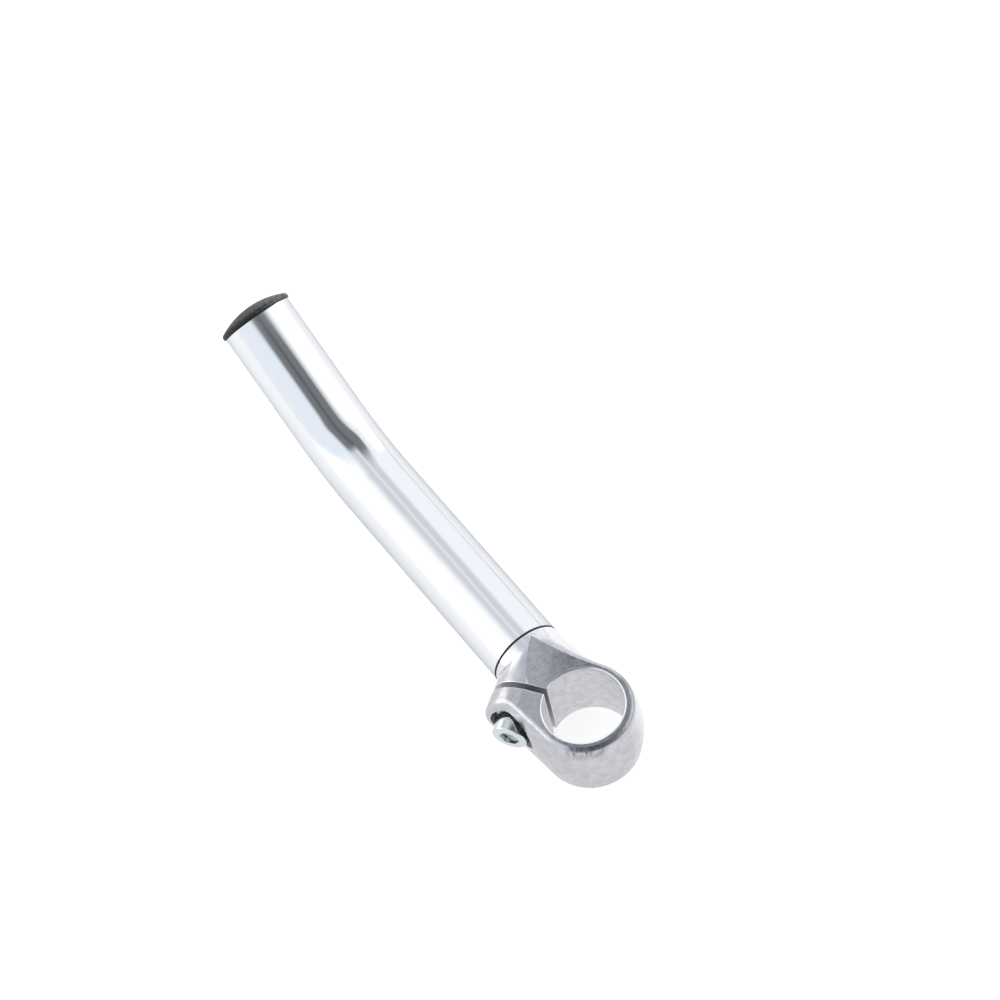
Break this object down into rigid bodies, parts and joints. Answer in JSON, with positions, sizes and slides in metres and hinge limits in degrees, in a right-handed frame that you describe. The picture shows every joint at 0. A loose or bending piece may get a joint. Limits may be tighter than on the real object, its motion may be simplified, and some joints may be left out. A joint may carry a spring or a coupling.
{
  "type": "bicycle bar end",
  "caption": "Bent aluminium bar end with a cast pinch clamp that fits the end of a flat handlebar, an end plug and a socket-head pinch bolt.",
  "frame": {"origin": "centre of the clamp's bore, at half the clamp's height", "axes": "+Z along the handlebar's axis, towards the side the tube bends to; +Y along the straight part of the tube, away from the clamp"},
  "size_m": [0.0366, 0.1737, 0.0436],
  "materials": {
    "cast_aluminium": "satin",
    "polished_aluminium": "polished",
    "black_plastic": "matte",
    "plated_steel": "bright zinc",
    "washer_steel": "satin zinc"
  },
  "bodies": {
    "bar_end": {"clamp_body": "cast_aluminium", "tube": "polished_aluminium", "end_plug": "black_plastic"},
    "washer": {"spring_washer": "washer_steel"},
    "bolt": {"clamp_bolt": "plated_steel"}
  },
  "joints": [
    {"name": "bolt_travel", "type": "slide", "parent": "bar_end", "child": "washer", "axis": [-0.829, -0.5592, 0], "range_m": [0, 0.004]},
    {"name": "bolt_turn", "type": "hinge", "parent": "washer", "child": "bolt", "pos_m": [-0.01074, 0.01592, 0], "axis": [-0.829, -0.5592, 0], "range_deg": [0, 1440]}
  ],
  "couplings": [
    {"joint": "bolt_turn", "follows": "bolt_travel", "rad_per_m": 6283.2}
  ]
}
